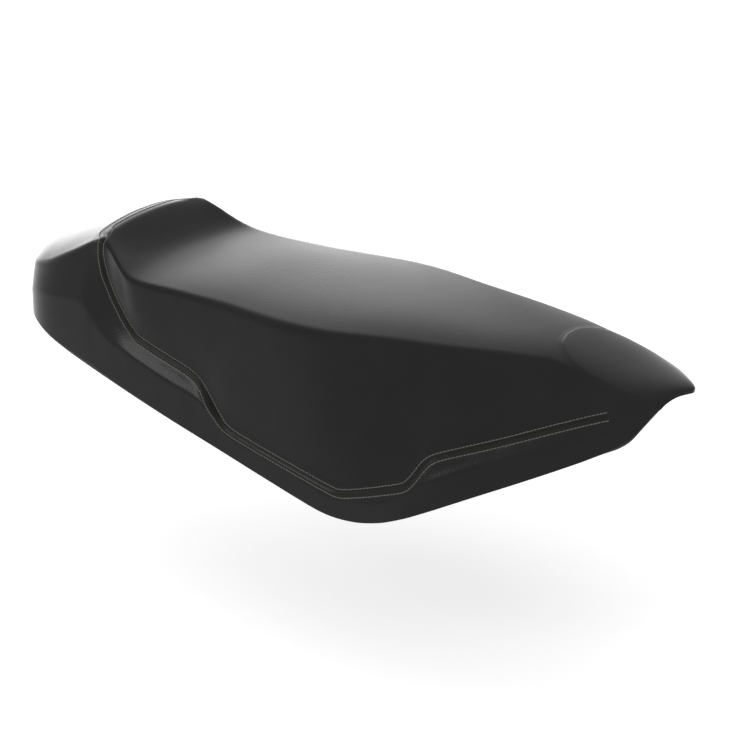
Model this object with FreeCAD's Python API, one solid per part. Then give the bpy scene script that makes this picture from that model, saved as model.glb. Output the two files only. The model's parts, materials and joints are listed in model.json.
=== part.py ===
import FreeCAD, Part
import math
import os

os.makedirs("parts", exist_ok=True)
Vector = FreeCAD.Vector

# Millimetres. Origin at the middle of the latch pin's shank, +X towards the nose, +Y left, +Z up.
TAIL_X = -162.0
NOSE_X = 566.0

# Rounding of the two ends, as superellipse lengths and powers
TAIL_PLAN_LENGTH = 88.0
TAIL_PLAN_POWER = 2.3
TAIL_TOP_LENGTH = 14.0
TAIL_TOP_POWER = 2.4
NOSE_PLAN_LENGTH = 7.0
NOSE_PLAN_POWER = 2.0

# Rounding of the section at the top edge, at the seam and at the shelf below it
CREASE_REACH = 7.0
SEAM_REACH = 6.0
FOLD_REACH = 4.0

# Wall thicknesses
COVER_THICKNESS = 1.6
SKIRT_FOAM = 3.6
PAN_WALL = 3.0
HEM_HEIGHT = 18.0
HEM_END_X = 530

# Where the pan stops short of the cushion's two ends
PAN_TAIL_GAP = 10.0
PAN_NOSE_GAP = 18.0
PAN_BLUNT = 8.0
PAN_COVER = 8.0
PAN_OVERSHOOT = 40.0

# The raised pad on the nose
NOSE_PAD_START_X = 440.0
NOSE_PAD_END_X = 552.0
NOSE_PAD_RISE = 2.2
NOSE_PAD_SINK_START_X = 480.0
NOSE_PAD_SINK = 1.2
NOSE_PAD_SIDE = ((443, 19), (449, 30), (464, 46), (485, 51.5), (510, 50), (533, 41), (NOSE_PAD_END_X, 24))

# The seam over the crest of the rear hump
CREST_SEAM_X = -27.0
CREST_SEAM_Z = 100.0

# Rail stations along the seat: x, then height, or half width and height
SPINE = (
    (-162, 75), (-143, 82), (-125, 89.5), (-100, 100), (-58, 116.5), (-40, 122.5), (-30, 122.5), (-21, 114),
    (-12, 102), (-2, 92.5), (14, 87.5), (40, 85.5), (103, 85), (170, 83.5), (290, 82), (390, 79.5),
    (435, 78), (452, 76.2), (470, 71.8), (495, 65), (517, 59.3), (533, 56.3), (547, 54.2), (556, 53),
    (566, 50.4),
)
CREASE = (
    (-162, 84, 63), (-115, 88, 73), (-85, 88, 86.5), (-60, 87, 99.5), (-38, 86, 111), (-26, 86, 114.5),
    (-18, 88, 112), (-8, 93, 105.5), (2, 98, 97.5), (12, 102.5, 90.5), (22, 104.5, 86.7), (36, 103, 84.3),
    (73, 100, 82.3), (103, 100.5, 81), (131, 101.5, 80), (157, 105, 79), (190, 109, 78), (223, 112, 77.3),
    (245, 109.5, 77), (270, 103.5, 76.8), (309, 92, 76.2), (346, 83, 75.3), (390, 70.5, 74.7),
    (435, 57, 73), (456, 51, 71), (470, 51, 66.5), (485, 52.5, 62), (503, 52, 56.7), (517, 49.5, 52.8),
    (533, 42, 49.3), (544, 33.5, 48), (549, 27, 48.3), (556, 16.5, 49.6), (566, 6, 49.2),
)
SEAM = (
    (-162, 92, 50), (-70, 93, 70), (-29, 88, 96), (-26, 88.5, 94), (-21, 90, 78.4), (-10, 93, 60),
    (3, 96, 44), (16, 98.5, 29.5), (25, 100, 22.8), (32, 100.7, 20.3), (62, 103.5, 11.2), (85, 105.4, 5.1),
    (97, 107, 1), (106, 108.7, -4), (120, 113, -20), (138, 119.5, -37.5), (146, 121.3, -41.8),
    (174, 125.3, -47.8), (237, 132, -61), (271, 135.6, -68), (280, 136.5, -68.3), (290, 137.3, -65.5),
    (314, 138, -57.3), (345, 137.2, -45.6), (351.5, 136.8, -42), (357.4, 134, -33.5), (362, 131.5, -24.9),
    (367, 128.5, -17), (375, 124.5, -11.6), (399, 114, -4), (433, 101, 8), (463, 89, 20), (488, 80, 29.5),
    (510, 70, 37.4), (533, 54, 39.5), (544, 38, 42.8), (549, 29, 44.8), (556, 16.5, 47.6), (566, 6, 47.6),
)
SHELF = (
    (-162, 98, 32), (-90, 100, 50), (-45, 103, 52), (-31, 105, 37), (-15, 108, 21.5), (-8, 109, 17.5),
    (15, 111, 10.4), (40, 113, 1.5), (81, 116, -11.3), (107, 118, -17.5), (120, 119.7, -23),
    (130, 121, -35), (145, 124, -48), (201, 130.5, -61), (275, 139, -76), (326, 143.5, -64),
    (372, 136, -33), (430, 112, -6), (492, 86, 17), (517, 73, 26.5), (533, 60, 30), (544, 42.5, 39),
    (549, 30.5, 43.4), (556, 17, 46.9), (566, 6, 46.8),
)
RIM = (
    (-162, 98, 20), (-116, 102, 12), (-88, 104, 1), (-19, 112, -20), (61, 119, -43.5), (138, 126, -63),
    (213, 134, -81), (271, 142, -91), (299, 146, -88.5), (326, 147, -82), (350, 146, -72),
    (372, 141, -61.5), (412, 127, -42), (450, 111, -24.5), (488, 94, -6.5), (514, 79, 5.5), (523, 73, 9),
    (531, 66, 14.5), (538, 57, 25), (544, 45, 34.5), (549, 32, 41.8), (556, 17.5, 46.1), (561, 10.5, 46.4),
    (566, 6, 46),
)
# Roof of the pan
PAN_ROOF = ((-162, 44), (-60, 34), (26, 27), (230, 25), (350, 26), (450, 32), (520, 36), (566, 38))

# Stations where sections are drawn between the two rounded ends
BODY_STATIONS = (
    -62, -50, -43, -37, -32, -28, -24, -20, -15, -9, -2, 6, 14, 24, 36, 50, 66, 82, 95, 105, 115, 125, 136,
    150, 174, 208, 242, 263, 277, 289, 304, 324, 341, 350, 357, 364, 372, 384, 402, 424, 440, 452, 464, 478,
    494, 510,
)
TAIL_STATION_COUNT = 7
NOSE_STATION_COUNT = 7
NOSE_STATION_LENGTH = 40.0
END_CAP = 0.6
STRIP_SPANS = 5

# Underside fittings
RIB_BOTTOM_Z = 13.0
RIB_THICKNESS = 3.0
LONG_RIB_Y = 38.0
CROSS_RIB_X = (110.0, 170.0, 270.0, 340.0, 405.0)
BOSS_BOTTOM_Z = 16.0
BUMPER_X = (70.0, 225.0, 380.0)
BUMPER_Y = 62.0
BUMPER_BOSS_R = 15.0
BUMPER_R = 12.0
BUMPER_HEIGHT = 11.0
BUMPER_FOOT_R = 9.5
BUMPER_STEM_R = 4.0
BUMPER_STEM_LENGTH = 7.0
LATCH_PLATE_LENGTH = 70.0
LATCH_PLATE_WIDTH = 44.0
LATCH_PLATE_THICKNESS = 3.0
LATCH_BOSS_MARGIN = 5.0
LATCH_SCREW_X = LATCH_PLATE_LENGTH / 2 - 9.0
LATCH_SCREW_Y = LATCH_PLATE_WIDTH / 2 - 8.0
LATCH_PIN_R = 6.0
LATCH_PIN_COLLAR_R = 9.5
LATCH_PIN_COLLAR_HEIGHT = 3.0
LATCH_PIN_SHANK_LENGTH = 20.0
LATCH_PIN_NECK_R = 4.0
LATCH_PIN_NECK_LENGTH = 7.0
LATCH_PIN_HEAD_LENGTH = 9.0
LATCH_PIN_STUD_R = 4.0
LATCH_PIN_STUD_LENGTH = 12.0
LATCH_NUT_FLATS = 13.0
LATCH_NUT_HEIGHT = 5.0
LATCH_WASHER_R = 9.0
LATCH_WASHER_THICKNESS = 1.5
LATCH_POCKET_R = 11.0
SCREW_SHANK_R = 2.5
SCREW_HEAD_R = 5.0
SCREW_HEAD_HEIGHT = 2.6
SCREW_LENGTH = 9.0
TONGUE_WIDTH = 40.0
TONGUE_THICKNESS = 3.0
TONGUE_FLANGE_START_X = 425.0
TONGUE_FLANGE_LENGTH = 38.0
TONGUE_DROP = 13.0
TONGUE_REACH = 48.0
TONGUE_SCREW_Y = TONGUE_WIDTH / 2 - 8.0
TONGUE_BOSS_BOTTOM_Z = 20.0
FIT_CLEARANCE = 0.1
STAPLE_LENGTH = 10.0
STAPLE_WIRE = 0.8
STAPLE_HEIGHT_ON_HEM = 10.0
STAPLE_X = tuple(range(-60, 500, 40))


def rail_slopes(xs, values):
    """Slopes of a smooth curve through the points that never overshoots them."""
    steps = [b - a for a, b in zip(xs, xs[1:])]
    rises = [(b - a) / step for a, b, step in zip(values, values[1:], steps)]
    slopes = [rises[0]]
    for left, right, before, after in zip(steps, steps[1:], rises, rises[1:]):
        if before * after <= 0:
            slopes.append(0.0)
            continue
        weight_before = 2 * right + left
        weight_after = right + 2 * left
        slopes.append((weight_before + weight_after) / (weight_before / before + weight_after / after))
    slopes.append(rises[-1])
    return slopes


def rail_value(stations, x):
    """The rail's values at x, a list with one number per column after x."""
    xs = [row[0] for row in stations]
    x = min(max(x, xs[0]), xs[-1])
    index = max(i for i in range(len(xs) - 1) if xs[i] <= x)
    step = xs[index + 1] - xs[index]
    t = (x - xs[index]) / step
    result = []
    for column in range(1, len(stations[0])):
        values = [row[column] for row in stations]
        slopes = rail_slopes(xs, values)
        start, end = values[index], values[index + 1]
        result.append(
            start * (1 + 2 * t) * (1 - t) ** 2
            + slopes[index] * step * t * (1 - t) ** 2
            + end * t * t * (3 - 2 * t)
            + slopes[index + 1] * step * t * t * (t - 1)
        )
    return result


def end_factor(distance, length, power):
    """Quarter superellipse: 0 at the end, 1 from length onwards."""
    u = min(max(1 - distance / length, 0.0), 1.0)
    return (1 - u ** power) ** (1 / power)


def toward(start, end, reach):
    """A point on the way from start to end, at most 0.45 of the way."""
    distance = math.hypot(end[0] - start[0], end[1] - start[1])
    share = min(reach / max(distance, 1e-6), 0.45)
    return (start[0] + (end[0] - start[0]) * share, start[1] + (end[1] - start[1]) * share)


def section_poles(x):
    """Right half of the cushion's section at x, (half width, height) from the spine to the rim."""
    plan = end_factor(x - TAIL_X, TAIL_PLAN_LENGTH, TAIL_PLAN_POWER)
    plan *= end_factor(NOSE_X - x, NOSE_PLAN_LENGTH, NOSE_PLAN_POWER)
    rise = end_factor(x - TAIL_X, TAIL_TOP_LENGTH, TAIL_TOP_POWER)
    spine = (0.0, rail_value(SPINE, x)[0])
    crease = rail_value(CREASE, x)
    seam = rail_value(SEAM, x)
    shelf = rail_value(SHELF, x)
    rim = rail_value(RIM, x)
    drop = crease[1] - spine[1]
    crown = (crease[0] * 0.40, spine[1] + drop * 0.10)
    shoulder = (crease[0] * 0.72, spine[1] + drop * 0.42)
    flank = ((crease[0] + seam[0]) / 2, (crease[1] + seam[1]) / 2)
    skirt = ((shelf[0] + rim[0]) / 2, (shelf[1] + rim[1]) / 2)
    poles = [
        spine,
        crown,
        shoulder,
        toward(crease, shoulder, CREASE_REACH),
        crease,
        toward(crease, seam, CREASE_REACH),
        flank,
        toward(seam, crease, SEAM_REACH),
        seam,
        toward(shelf, seam, FOLD_REACH),
        shelf,
        toward(shelf, rim, FOLD_REACH),
        skirt,
        rim,
    ]
    return [(y * plan, rim[1] + (z - rim[1]) * rise) for y, z in poles]


def inset_poles(poles, distance):
    """The poles drawn in by distance towards the section's middle, less where the section is thin."""
    top, bottom = poles[0][1], poles[-1][1]
    height = top - bottom
    width = max(y for y, z in poles)
    reach = math.copysign(min(abs(distance), 0.25 * height, 0.25 * width), distance)
    middle = (top + bottom) / 2
    narrowing = 1 - reach / width
    flattening = 1 - 2 * reach / height
    return [(y * narrowing, middle + (z - middle) * flattening) for y, z in poles]


def half_width_at(poles, z):
    """Half width of the section's outline at height z."""
    for upper, lower in zip(poles[4:], poles[5:]):
        if upper[1] >= z >= lower[1] and upper[1] > lower[1]:
            share = (upper[1] - z) / (upper[1] - lower[1])
            return upper[0] + (lower[0] - upper[0]) * share
    return poles[4][0]


def stations():
    """The x of every section, close together at the two rounded ends."""
    quarter = math.pi / 2
    tail = []
    for i in range(TAIL_STATION_COUNT):
        start = math.acos(1 - END_CAP / TAIL_PLAN_LENGTH)
        angle = start + (quarter - start) * i / TAIL_STATION_COUNT
        tail.append(TAIL_X + TAIL_PLAN_LENGTH * (1 - math.cos(angle)))
    nose = []
    for i in range(NOSE_STATION_COUNT):
        start = math.acos(1 - END_CAP / NOSE_STATION_LENGTH)
        angle = start + (quarter - start) * i / NOSE_STATION_COUNT
        nose.append(NOSE_X - NOSE_STATION_LENGTH * (1 - math.cos(angle)))
    return tail + list(BODY_STATIONS) + nose[::-1]


def shrunk_x(x, tail_gap, nose_gap):
    """Moves x towards the middle, by the gaps at the two ends and not at all in the middle."""
    middle = (TAIL_X + NOSE_X) / 2
    if x < middle:
        return middle + (x - middle) * (middle - TAIL_X - tail_gap) / (middle - TAIL_X)
    return middle + (x - middle) * (NOSE_X - nose_gap - middle) / (NOSE_X - middle)


def clamped_knots(count):
    """Knots and multiplicities of an even cubic spline that starts and ends on its end poles."""
    spans = count - 3
    return [i / spans for i in range(spans + 1)], [4] + [1] * (spans - 1) + [4]


def net_solid(sections):
    """Solid under the cubic surface over the sections' poles, in strips, with ruled faces below and flat ends."""
    net = []
    for x, half in sections:
        right = [Vector(x, -y, z) for y, z in half]
        left = [Vector(x, y, z) for y, z in half[1:]]
        net.append(right[::-1] + left)
    long_knots, long_counts = clamped_knots(len(net))
    round_knots, round_counts = clamped_knots(len(net[0]))
    skin = Part.BSplineSurface()
    skin.buildFromPolesMultsKnots(net, long_counts, round_counts, long_knots, round_knots, False, False, 3, 3)
    faces = []
    breaks = long_knots[:-1:STRIP_SPANS] + [1.0]
    for start, end in zip(breaks, breaks[1:]):
        strip = skin.copy()
        strip.segment(start, end, 0.0, 1.0)
        faces.append(strip.toShape())
        faces.append(Part.makeRuledSurface(strip.vIso(0.0).toShape(), strip.vIso(1.0).toShape()))
    for end in (skin.uIso(0.0), skin.uIso(1.0)):
        arch = end.toShape()
        sill = Part.makeLine(arch.Vertexes[-1].Point, arch.Vertexes[0].Point)
        faces.append(Part.Face(Part.Wire([arch, sill])))
    shell = Part.makeShell(faces)
    shell.sewShape()
    solid = Part.Solid(shell)
    if solid.Volume < 0:
        solid.reverse()
    return solid


def cushion_body(inset, tail_gap, nose_gap):
    """The whole cushion's solid, inset all over."""
    sections = []
    for x in stations():
        sections.append((shrunk_x(x, tail_gap, nose_gap), inset_poles(section_poles(x), inset)))
    return net_solid(sections)


def pad_body():
    """The cushion grown by the pad's rise, sinking below its surface towards the lip."""
    sections = []
    for x in stations():
        if x < NOSE_PAD_START_X - 60:
            continue
        share = min(max((x - NOSE_PAD_SINK_START_X) / (NOSE_PAD_END_X - NOSE_PAD_SINK_START_X), 0.0), 1.0)
        rise = NOSE_PAD_RISE - (NOSE_PAD_RISE + NOSE_PAD_SINK) * share
        sections.append((x, inset_poles(section_poles(x), -rise)))
    return net_solid(sections)


def pan_poles(x, inset):
    """Right half of the pan's section: flat roof, rounded shoulder, wall down past the rim."""
    outer = section_poles(min(max(x, TAIL_X + PAN_BLUNT), NOSE_X - PAN_BLUNT))
    rim_y, rim_z = outer[-1]
    roof = min(rail_value(PAN_ROOF, x)[0], outer[0][1] - PAN_COVER)
    roof = max(roof, rim_z + PAN_WALL)
    middle_z = (roof + rim_z) / 2
    skirt = COVER_THICKNESS + SKIRT_FOAM + inset
    wall = max(rim_y - skirt, 0.4 * rim_y)
    middle = min(max(half_width_at(outer, middle_z) - skirt - 2.0, 0.4 * rim_y), wall)
    shoulder = min(max(half_width_at(outer, roof) - skirt - PAN_COVER, 0.3 * rim_y), 0.92 * middle)
    top = roof - inset
    depth = max(top - rim_z, 2.0)
    return [
        (0.0, top),
        (shoulder * 0.5, top),
        (shoulder * 0.85, top),
        (shoulder, top),
        (shoulder + (middle - shoulder) * 0.4, top - depth * 0.2),
        (middle, top - depth * 0.5),
        (wall, top - depth),
        (wall, rim_z - PAN_OVERSHOOT),
    ]


def pan_body(inset):
    """A solid with the pan's shape, open downwards well past the rim."""
    sections = []
    for x in stations():
        where = shrunk_x(x, PAN_TAIL_GAP + inset, PAN_NOSE_GAP + inset)
        sections.append((where, pan_poles(x, inset)))
    return net_solid(sections)


def smooth_face(points, closing):
    """Face bounded by one smooth curve drawn along points and straight edges through closing."""
    curve = Part.BSplineCurve()
    curve.buildFromPoles(points, False, 3)
    edges = [curve.toShape()]
    corners = [points[-1]] + closing + [points[0]]
    for start, end in zip(corners, corners[1:]):
        edges.append(Part.makeLine(start, end))
    return Part.Face(Part.Wire(edges))


def box_between(x_range, y_range, z_range):
    size = [end - start for start, end in (x_range, y_range, z_range)]
    return Part.makeBox(size[0], size[1], size[2], Vector(x_range[0], y_range[0], z_range[0]))


def down_cylinder(radius, height, x, y, top_z):
    """Upright cylinder hanging from top_z."""
    return Part.makeCylinder(radius, height, Vector(x, y, top_z - height))


def only_solid(shape):
    """The longest solid of a boolean's result."""
    return max(shape.Solids, key=lambda solid: solid.BoundBox.DiagonalLength)


def export(shape, node):
    shape.exportStep("parts/" + node + ".step")


# The cushion's outside, with the raised pad on the nose
outside = cushion_body(0.0, 0.0, 0.0)
pad_side = [Vector(x, y, 0) for x, y in NOSE_PAD_SIDE]
pad_outline = [Vector(spot.x, -spot.y, 0) for spot in pad_side[::-1]]
pad_outline += [Vector(NOSE_PAD_START_X, 0, 0)] + pad_side
pad_column = smooth_face(pad_outline, []).extrude(Vector(0, 0, 70))
pad_column.translate(Vector(0, 0, 45))
nose_pad = pad_body().common(pad_column)
outside = only_solid(outside.fuse(nose_pad))

# Bodies one inside the other
filling = cushion_body(COVER_THICKNESS, COVER_THICKNESS, COVER_THICKNESS)
pan_outside = pan_body(0.0)
pan_inside = pan_body(PAN_WALL)
hem_inside = pan_body(PAN_WALL + COVER_THICKNESS)

# Cover: the skin, its turn under the rim and the hem up the inside of the pan
hem_line = []
for x in range(-170, HEM_END_X + 1, 25):
    hem_line.append(Vector(x, -200, rail_value(RIM, x)[1] + HEM_HEIGHT))
hem_closing = [Vector(hem_line[-1].x, -200, -150), Vector(hem_line[0].x, -200, -150)]
hem_zone = smooth_face(hem_line, hem_closing).extrude(Vector(0, 400, 0))
filling_above_hem = filling.cut(pan_inside.common(hem_zone))
cover = outside.cut(filling_above_hem).cut(hem_inside)
seam_line = [Vector(CREST_SEAM_X, -200, CREST_SEAM_Z)]
for x, half_width, z in SEAM[:-1]:
    if x > CREST_SEAM_X:
        seam_line.append(Vector(x, -200, z))
seam_line.append(Vector(NOSE_X + 10, -200, SEAM[-1][2] + 2))
seam_closing = [Vector(NOSE_X + 10, -200, 180), Vector(CREST_SEAM_X, -200, 180)]
main_zone = smooth_face(seam_line, seam_closing).extrude(Vector(0, 400, 0))
cover_main = only_solid(outside.common(main_zone).cut(filling))
cover_border = only_solid(cover.cut(main_zone))

# Foam fills the space between the cover and the pan
foam = only_solid(filling.cut(pan_outside))

# Pan: shell, ribs and bosses
pan = filling.common(pan_outside).cut(pan_inside)
ribs = []
for side in (-1, 1):
    y = side * LONG_RIB_Y
    ribs.append(box_between((45, 410), (y - RIB_THICKNESS / 2, y + RIB_THICKNESS / 2), (RIB_BOTTOM_Z, 60)))
for x in CROSS_RIB_X:
    ribs.append(box_between((x - RIB_THICKNESS / 2, x + RIB_THICKNESS / 2), (-90, 90), (RIB_BOTTOM_Z, 60)))
rib_grid = ribs[0].multiFuse(ribs[1:]).common(pan_inside)
latch_boss = box_between(
    (-LATCH_PLATE_LENGTH / 2 - LATCH_BOSS_MARGIN, LATCH_PLATE_LENGTH / 2 + LATCH_BOSS_MARGIN),
    (-LATCH_PLATE_WIDTH / 2 - LATCH_BOSS_MARGIN, LATCH_PLATE_WIDTH / 2 + LATCH_BOSS_MARGIN),
    (BOSS_BOTTOM_Z, 60),
)
tongue_boss = box_between(
    (TONGUE_FLANGE_START_X - 4, TONGUE_FLANGE_START_X + TONGUE_FLANGE_LENGTH + 4),
    (-TONGUE_WIDTH / 2 - 5, TONGUE_WIDTH / 2 + 5),
    (TONGUE_BOSS_BOTTOM_Z, 60),
)
bosses = [latch_boss, tongue_boss]
bumper_places = []
for x in BUMPER_X:
    for y in (-BUMPER_Y, BUMPER_Y):
        bumper_places.append((x, y))
        bosses.append(Part.makeCylinder(BUMPER_BOSS_R, 60 - BOSS_BOTTOM_Z, Vector(x, y, BOSS_BOTTOM_Z)))
boss_block = bosses[0].multiFuse(bosses[1:]).common(pan_inside)
pan = only_solid(pan.fuse(rib_grid).fuse(boss_block))

# Holes in the pan: bumper stems, screws, the latch pin's stud and the pocket for its nut
plate_top = BOSS_BOTTOM_Z
plate_bottom = plate_top - LATCH_PLATE_THICKNESS
stud_hole_r = LATCH_PIN_STUD_R + FIT_CLEARANCE
holes = []
for x, y in bumper_places:
    holes.append(Part.makeCylinder(BUMPER_STEM_R, BUMPER_STEM_LENGTH, Vector(x, y, BOSS_BOTTOM_Z)))
latch_screws = []
for x in (-LATCH_SCREW_X, LATCH_SCREW_X):
    for y in (-LATCH_SCREW_Y, LATCH_SCREW_Y):
        latch_screws.append((x, y))
for x, y in latch_screws:
    holes.append(Part.makeCylinder(SCREW_SHANK_R, SCREW_LENGTH, Vector(x, y, plate_bottom)))
tongue_screw_x = TONGUE_FLANGE_START_X + TONGUE_FLANGE_LENGTH * 0.45
tongue_screws = [(tongue_screw_x, -TONGUE_SCREW_Y), (tongue_screw_x, TONGUE_SCREW_Y)]
for x, y in tongue_screws:
    start = Vector(x, y, TONGUE_BOSS_BOTTOM_Z - TONGUE_THICKNESS)
    holes.append(Part.makeCylinder(SCREW_SHANK_R, SCREW_LENGTH, start))
nut_pocket = Part.makeCylinder(LATCH_POCKET_R, 30, Vector(0, 0, plate_top))
pan = only_solid(pan.cut(holes[0].multiFuse(holes[1:])).cut(nut_pocket))
foam = only_solid(foam.cut(nut_pocket))

export(cover_main, "cover_main_panel")
export(cover_border, "cover_border_panel")
export(foam, "foam_cushion")
export(pan, "seat_pan")

# Rubber bumpers: a stem pressed into the boss and a tapered foot
for index, (x, y) in enumerate(bumper_places):
    foot = Part.makeCone(BUMPER_FOOT_R, BUMPER_R, BUMPER_HEIGHT, Vector(x, y, BOSS_BOTTOM_Z - BUMPER_HEIGHT))
    stem = Part.makeCylinder(BUMPER_STEM_R, BUMPER_STEM_LENGTH, Vector(x, y, BOSS_BOTTOM_Z))
    export(foot.fuse(stem).removeSplitter(), "bumper_%d" % (index + 1))

# Latch plate under its boss, with its four screws
plate = box_between(
    (-LATCH_PLATE_LENGTH / 2, LATCH_PLATE_LENGTH / 2),
    (-LATCH_PLATE_WIDTH / 2, LATCH_PLATE_WIDTH / 2),
    (plate_bottom, plate_top),
)
plate = plate.makeFillet(8.0, [edge for edge in plate.Edges if abs(edge.tangentAt(edge.FirstParameter).z) > 0.9])
plate = plate.cut(Part.makeCylinder(stud_hole_r, 20, Vector(0, 0, plate_bottom - 5)))
for x, y in latch_screws:
    plate = plate.cut(Part.makeCylinder(SCREW_SHANK_R, 20, Vector(x, y, plate_bottom - 5)))
export(plate, "latch_plate")


def screw(x, y, under_head_z):
    """Pan-head screw whose shank points up from under_head_z."""
    head = Part.makeCylinder(SCREW_HEAD_R, SCREW_HEAD_HEIGHT, Vector(x, y, under_head_z - SCREW_HEAD_HEIGHT))
    low_rim = [edge for edge in head.Edges if edge.BoundBox.ZMax < under_head_z - SCREW_HEAD_HEIGHT + 0.01]
    head = head.makeFillet(1.2, low_rim)
    slot = box_between(
        (x - 0.6, x + 0.6),
        (y - 3.2, y + 3.2),
        (under_head_z - SCREW_HEAD_HEIGHT - 1, under_head_z - SCREW_HEAD_HEIGHT + 1.4),
    )
    cross = slot.copy()
    cross.rotate(Vector(x, y, 0), Vector(0, 0, 1), 90)
    head = head.cut(slot.fuse(cross))
    return head.fuse(Part.makeCylinder(SCREW_SHANK_R, SCREW_LENGTH - 0.5, Vector(x, y, under_head_z)))


for index, (x, y) in enumerate(latch_screws):
    export(screw(x, y, plate_bottom), "latch_screw_%d" % (index + 1))

# Latch pin: stud through the plate, collar, shank, neck for the latch to close on, and a rounded head
collar_z = plate_bottom - LATCH_PIN_COLLAR_HEIGHT
shank_z = collar_z - LATCH_PIN_SHANK_LENGTH
neck_z = shank_z - LATCH_PIN_NECK_LENGTH
head_z = neck_z - LATCH_PIN_HEAD_LENGTH
profile = [
    Vector(0, 0, plate_top + LATCH_PIN_STUD_LENGTH - LATCH_PLATE_THICKNESS),
    Vector(LATCH_PIN_STUD_R, 0, plate_top + LATCH_PIN_STUD_LENGTH - LATCH_PLATE_THICKNESS),
    Vector(LATCH_PIN_STUD_R, 0, plate_bottom),
    Vector(LATCH_PIN_COLLAR_R, 0, plate_bottom),
    Vector(LATCH_PIN_COLLAR_R, 0, collar_z),
    Vector(LATCH_PIN_R, 0, collar_z),
    Vector(LATCH_PIN_R, 0, shank_z),
    Vector(LATCH_PIN_NECK_R, 0, shank_z - 2),
    Vector(LATCH_PIN_NECK_R, 0, neck_z),
    Vector(LATCH_PIN_R, 0, neck_z),
    Vector(LATCH_PIN_R, 0, head_z + 4),
    Vector(2.5, 0, head_z),
    Vector(0, 0, head_z),
]
pin_face = Part.Face(Part.makePolygon(profile + [profile[0]]))
latch_pin = pin_face.revolve(Vector(0, 0, 0), Vector(0, 0, 1), 360)
export(latch_pin.Solids[0], "latch_pin")

washer = Part.makeCylinder(LATCH_WASHER_R, LATCH_WASHER_THICKNESS, Vector(0, 0, plate_top))
washer = washer.cut(Part.makeCylinder(stud_hole_r, 10, Vector(0, 0, plate_top - 2)))
export(washer, "latch_washer")

nut_z = plate_top + LATCH_WASHER_THICKNESS
corner_r = LATCH_NUT_FLATS / math.sqrt(3)
corners = []
for i in range(7):
    angle = math.radians(60 * i)
    corners.append(Vector(corner_r * math.cos(angle), corner_r * math.sin(angle), nut_z))
nut = Part.Face(Part.makePolygon(corners)).extrude(Vector(0, 0, LATCH_NUT_HEIGHT))
nut = nut.common(Part.makeCone(corner_r + 2.5, corner_r - 0.8, LATCH_NUT_HEIGHT, Vector(0, 0, nut_z)))
nut = nut.cut(Part.makeCylinder(stud_hole_r, 20, Vector(0, 0, nut_z - 5)))
export(nut, "latch_nut")

# Front tongue: a flange under its boss, a step down and the tongue that goes under the frame's cross bar
flange_top = TONGUE_BOSS_BOTTOM_Z
flange_end = TONGUE_FLANGE_START_X + TONGUE_FLANGE_LENGTH
step_end = flange_end + TONGUE_DROP
tongue_end = step_end + TONGUE_REACH
tongue_top = flange_top - TONGUE_DROP
slant = TONGUE_THICKNESS * math.tan(math.radians(22.5))
side = [
    Vector(TONGUE_FLANGE_START_X, 0, flange_top),
    Vector(flange_end, 0, flange_top),
    Vector(step_end, 0, tongue_top),
    Vector(tongue_end, 0, tongue_top),
    Vector(tongue_end, 0, tongue_top - TONGUE_THICKNESS),
    Vector(step_end - slant, 0, tongue_top - TONGUE_THICKNESS),
    Vector(flange_end - slant, 0, flange_top - TONGUE_THICKNESS),
    Vector(TONGUE_FLANGE_START_X, 0, flange_top - TONGUE_THICKNESS),
]
tongue = Part.Face(Part.makePolygon(side + [side[0]])).extrude(Vector(0, TONGUE_WIDTH, 0))
tongue.translate(Vector(0, -TONGUE_WIDTH / 2, 0))
plan_corners = []
for edge in tongue.Edges:
    box = edge.BoundBox
    if box.XLength < 0.01 and box.YLength < 0.01 and box.XMin > tongue_end - 0.01:
        plan_corners.append(edge)
tongue = tongue.makeFillet(9.0, plan_corners)
for x, y in tongue_screws:
    tongue = tongue.cut(Part.makeCylinder(SCREW_SHANK_R, 20, Vector(x, y, flange_top - 10)))
export(tongue, "front_tongue")
for index, (x, y) in enumerate(tongue_screws):
    export(screw(x, y, flange_top - TONGUE_THICKNESS), "tongue_screw_%d" % (index + 1))

# Staples that hold the hem to the inside of the pan
staples = []
hem_inset = PAN_WALL + COVER_THICKNESS
for x in STAPLE_X:
    for y_sign in (-1, 1):
        spots = []
        for offset in (-STAPLE_LENGTH / 2, STAPLE_LENGTH / 2):
            z = rail_value(RIM, x + offset)[1] + STAPLE_HEIGHT_ON_HEM
            cut = hem_inside.slice(Vector(1, 0, 0), x + offset)
            ray = Part.makeLine(Vector(x + offset, 0, z), Vector(x + offset, y_sign * 200, z))
            gap, points, info = cut[0].distToShape(ray)
            spots.append(points[0][1])
        ahead = spots[1].sub(spots[0]).normalize()
        inward = Vector(0, -y_sign, 0)
        base = spots[0].add(inward.multiply(STAPLE_WIRE / 2 + 0.15))
        staple = Part.makeCylinder(STAPLE_WIRE / 2, STAPLE_LENGTH, base, ahead)
        staples.append(staple)
export(Part.makeCompound(staples), "staples")
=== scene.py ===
"""A black two-up motorbike seat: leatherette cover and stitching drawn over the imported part."""

import json
import math

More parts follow.
